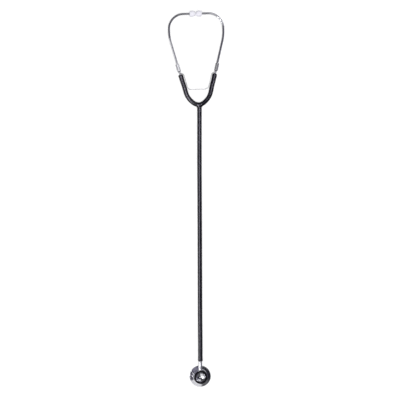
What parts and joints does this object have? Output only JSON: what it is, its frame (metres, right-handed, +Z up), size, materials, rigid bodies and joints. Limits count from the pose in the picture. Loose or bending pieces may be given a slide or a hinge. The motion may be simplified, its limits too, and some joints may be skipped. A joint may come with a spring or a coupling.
{
  "type": "dual-head stethoscope",
  "caption": "Acoustic stethoscope with a turning bell and diaphragm chestpiece, one-piece Y tubing and sprung ear tubes.",
  "frame": {"origin": "centre of the diaphragm's outer face, which is the plane that the chestpiece rests on", "axes": "+Z up out of the bell, +Y along the stem and tubing to the ear tips, +X to the right seen from above"},
  "size_m": [0.1176, 0.7808, 0.0268],
  "materials": {
    "chrome": "polished chrome plate",
    "spring_steel": "bright spring steel",
    "black_rubber": "satin black moulded tubing",
    "black_plastic": "semi-gloss black soft ring",
    "soft_tip": "milky translucent soft rubber",
    "nylon": "natural white nylon",
    "membrane": "pale glass-fibre membrane"
  },
  "bodies": {
    "root": {"y_tubing": "black_rubber", "leaf_spring": "spring_steel", "chestpiece_stem": "chrome", "stem_o_ring": "black_rubber", "stem_thrust_washer": "nylon", "stem_retaining_clip": "spring_steel"},
    "chestpiece": {"chestpiece_body": "chrome", "diaphragm": "membrane", "diaphragm_retaining_ring": "chrome", "bell_ring": "black_plastic", "detent_ball": "spring_steel", "detent_spring": "spring_steel", "detent_screw": "spring_steel"},
    "left_arm": {"left_spring_clip": "chrome"},
    "left_binaural": {"left_ear_tube": "chrome", "left_tip_ferrule": "chrome", "left_tip_insert": "nylon", "left_ear_tip": "soft_tip"},
    "right_arm": {"right_spring_clip": "chrome"},
    "right_binaural": {"right_ear_tube": "chrome", "right_tip_ferrule": "chrome", "right_tip_insert": "nylon", "right_ear_tip": "soft_tip"}
  },
  "joints": [
    {"name": "chestpiece_turn", "type": "hinge", "parent": "root", "child": "chestpiece", "pos_m": [0, 0, 0.013], "axis": [0, 1, 0], "continuous": true},
    {"name": "left_spread", "type": "hinge", "parent": "root", "child": "left_arm", "pos_m": [-0.02484, 0.59427, 0.0047], "axis": [0, 0, 1], "range_deg": [0, 28], "stiffness_Nm_per_rad": 1.4, "springref_deg": -2.86, "deforming": ["y_tubing", "leaf_spring"]},
    {"name": "right_spread", "type": "hinge", "parent": "root", "child": "right_arm", "pos_m": [0.01713, 0.59588, 0.0047], "axis": [0, 0, -1], "range_deg": [0, 28], "stiffness_Nm_per_rad": 1.4, "springref_deg": -2.86, "deforming": ["y_tubing", "leaf_spring"]},
    {"name": "left_ear_tube_swivel", "type": "hinge", "parent": "left_arm", "child": "left_binaural", "pos_m": [-0.04098, 0.62628, 0.0047], "axis": [-0.2907, 0.9568, 0], "range_deg": [-20, 20]},
    {"name": "right_ear_tube_swivel", "type": "hinge", "parent": "right_arm", "child": "right_binaural", "pos_m": [0.03077, 0.62903, 0.0047], "axis": [0.2164, 0.9763, 0], "range_deg": [-20, 20]}
  ]
}
